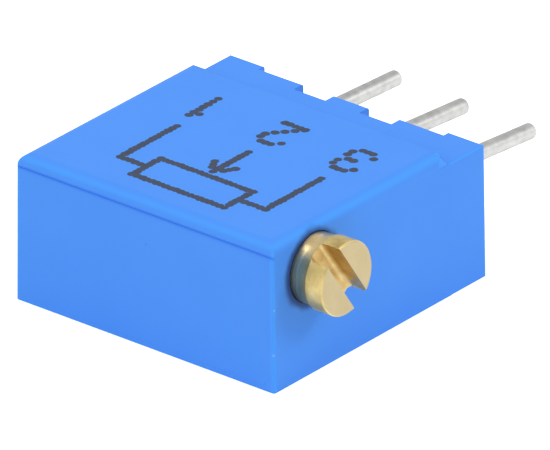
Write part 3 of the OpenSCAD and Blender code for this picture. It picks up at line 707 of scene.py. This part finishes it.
# Wiper. Thin spring strip with a gold-coloured plating and a fine grain, punched and bent, and
# held on the pegs of the rotor.
gilt_dark, gilt_light = (0.78, 0.56, 0.22, 1), (0.90, 0.70, 0.34, 1)
gilt, tree, shader, mm = new_finish("gold_plated_strip")
strip = use_effect(tree, mould_grain, Position=mm, Grain=20.0, Cloud=2.5)
colour = blend_colour(tree, strip["Tone"], gilt_dark, gilt_light)
tree.links.new(colour, shader.inputs["Base Color"])
shader.inputs["Metallic"].default_value = 1.0
tree.links.new(reckon(tree, "MULTIPLY_ADD", strip["Height"], 0.15, 0.18),
               shader.inputs["Roughness"])
raise_surface(tree, shader, strip["Height"], 0.003 * MM)
dress("wiper", gilt)

# Pivot and fork. A steel pin riveted in the plate, and a fork punched from spring steel that is
# pushed over a groove of the screw. Both carry faint lines from drawing and rolling.
steel_dark, steel_light = (0.42, 0.42, 0.43, 1), (0.56, 0.56, 0.56, 1)
spring_dark, spring_light = (0.36, 0.37, 0.39, 1), (0.52, 0.53, 0.55, 1)
dress("pivot_pin", two_tone("steel_pin", drawn_lines, (steel_dark, steel_light), 0.3, 0.004,
                            metallic=1.0, Fineness=12.0))
dress("retaining_fork", two_tone("spring_steel", drawn_lines, (spring_dark, spring_light), 0.35,
                                 0.004, metallic=1.0, Fineness=30.0))

# Seal ring. A ring of black rubber in a groove of the screw, matt, with the faint bloom of
# moulded rubber.
rubber_dark, rubber_light = (0.012, 0.012, 0.012, 1), (0.04, 0.04, 0.042, 1)
dress("seal_ring", two_tone("ring_rubber", mould_grain, (rubber_dark, rubber_light), 0.68, 0.008,
                            Grain=20.0, Cloud=2.0))

# Floor, sky and lamps. A plain white floor that keeps a soft shadow, a white sky that dims
# overhead where it is seen or mirrored, one broad lamp over the object, and two small ones
# to its sides. They are no part of the object.
floor_half, floor_glow, sky_even, lamp_away = 1.5, 0.55, 0.71, 0.4
floor_mesh = bmesh.new()
bmesh.ops.create_grid(floor_mesh, x_segments=1, y_segments=1, size=floor_half)
floor = bpy.data.objects.new("floor", bpy.data.meshes.new("floor"))
floor_mesh.to_mesh(floor.data)
floor_mesh.free()
bpy.context.scene.collection.objects.link(floor)
paper = bpy.data.materials.new("floor_paper")
paper.use_nodes = True
tree = paper.node_tree
tree.nodes.clear()


def seen_rays(tree):
    """1 for rays that the camera sends, also by way of a mirror or through glass."""
    rays = place(tree, "ShaderNodeLightPath").outputs
    seen = reckon(tree, "MAXIMUM", rays["Is Camera Ray"], rays["Is Glossy Ray"])
    return reckon(tree, "MAXIMUM", seen, rays["Is Transmission Ray"])


seen = seen_rays(tree)
matt = place(tree, "ShaderNodeBsdfDiffuse", {"Color": (0.90, 0.90, 0.90, 1)})
glow = place(tree, "ShaderNodeEmission", {"Strength": reckon(tree, "MULTIPLY", seen, floor_glow)})
both = place(tree, "ShaderNodeAddShader", {0: matt.outputs[0], 1: glow.outputs[0]})
place(tree, "ShaderNodeOutputMaterial", {"Surface": both.outputs[0]})
floor.data.materials.append(paper)

world = bpy.data.worlds.new("sky")
bpy.context.scene.world = world
world.use_nodes = True
tree = world.node_tree
tree.nodes.clear()
seen = seen_rays(tree)
towards = place(tree, "ShaderNodeTexCoord").outputs["Generated"]
rise_of = place(tree, "ShaderNodeSeparateXYZ", {0: towards}).outputs["Z"]
overhead = place(tree, "ShaderNodeMapRange", {"Value": rise_of, "From Min": 0.35, "From Max": 0.95,
                                              "To Min": 1.0, "To Max": 0.5})
even = place(tree, "ShaderNodeBackground", {"Color": (1, 1, 1, 1), "Strength": sky_even})
bright = place(tree, "ShaderNodeBackground", {"Color": (1, 1, 1, 1),
                                              "Strength": overhead.outputs[0]})
either = place(tree, "ShaderNodeMixShader", {0: seen, 1: even.outputs[0], 2: bright.outputs[0]})
place(tree, "ShaderNodeOutputWorld", {"Surface": either.outputs[0]})


def hang_lamp(name, towards, width, watts):
    lamp = bpy.data.objects.new(name, bpy.data.lights.new(name, "AREA"))
    lamp.data.shape = "SQUARE"
    lamp.data.size = width
    lamp.data.energy = watts
    direction = Vector(towards).normalized()
    lamp.location = aim + direction * lamp_away
    lamp.rotation_mode = "QUATERNION"
    lamp.rotation_quaternion = direction.to_track_quat("Z", "Y")
    bpy.context.scene.collection.objects.link(lamp)


hang_lamp("lamp_over", (-0.25, -0.75, 1.05), 0.45, 0.53)
hang_lamp("lamp_side", (1.0, 0.5, 0.85), 0.12, 0.33)
hang_lamp("lamp_small", (-0.57, -0.16, 0.81), 0.09, 0.06)

bpy.context.scene.view_settings.view_transform = "Standard"
